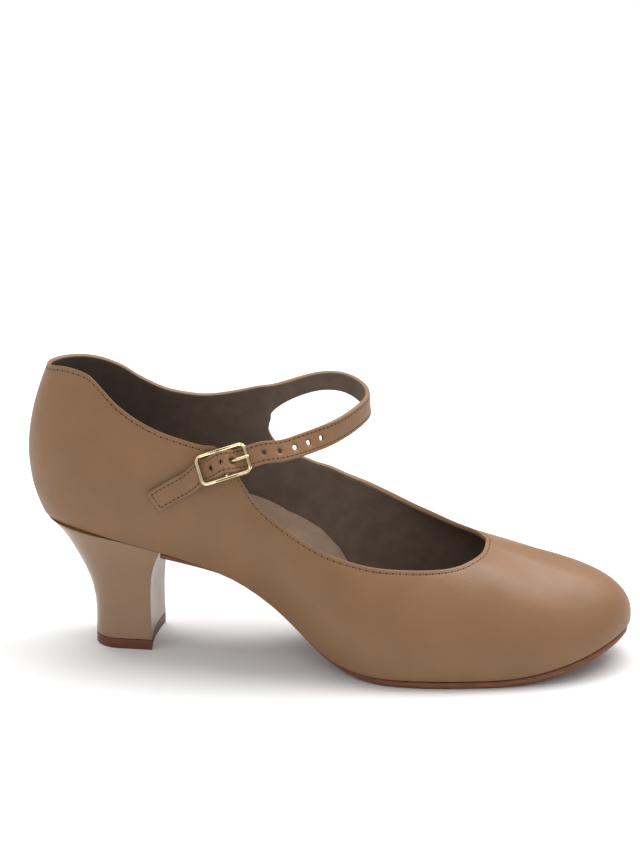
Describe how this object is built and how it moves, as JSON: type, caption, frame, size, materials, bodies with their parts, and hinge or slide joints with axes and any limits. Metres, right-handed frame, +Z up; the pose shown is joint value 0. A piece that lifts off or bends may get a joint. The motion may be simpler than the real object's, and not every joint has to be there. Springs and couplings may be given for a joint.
{
  "type": "character shoe",
  "caption": "Low-cut leather dance shoe on a curved Cuban heel, with a narrow instep strap that fastens in a small metal buckle on the outer side.",
  "frame": {"origin": "middle of the flat face under the heel, on the floor", "axes": "+X towards the toe, +Y towards the inner side of the foot, +Z up"},
  "size_m": [0.2392, 0.0808, 0.1158],
  "materials": {
    "upper_leather": "satin",
    "sole_leather": "matte",
    "heel_cover": "satin",
    "top_piece_rubber": "matte",
    "insole_leather": "matte",
    "buckle_metal": "polished"
  },
  "bodies": {
    "root": {"upper": "upper_leather", "outsole": "sole_leather", "insole": "insole_leather", "heel": "heel_cover", "top_piece": "top_piece_rubber", "buckle_frame": "buckle_metal", "buckle_prong": "buckle_metal", "buckle_chape": "upper_leather"}
  },
  "joints": []
}
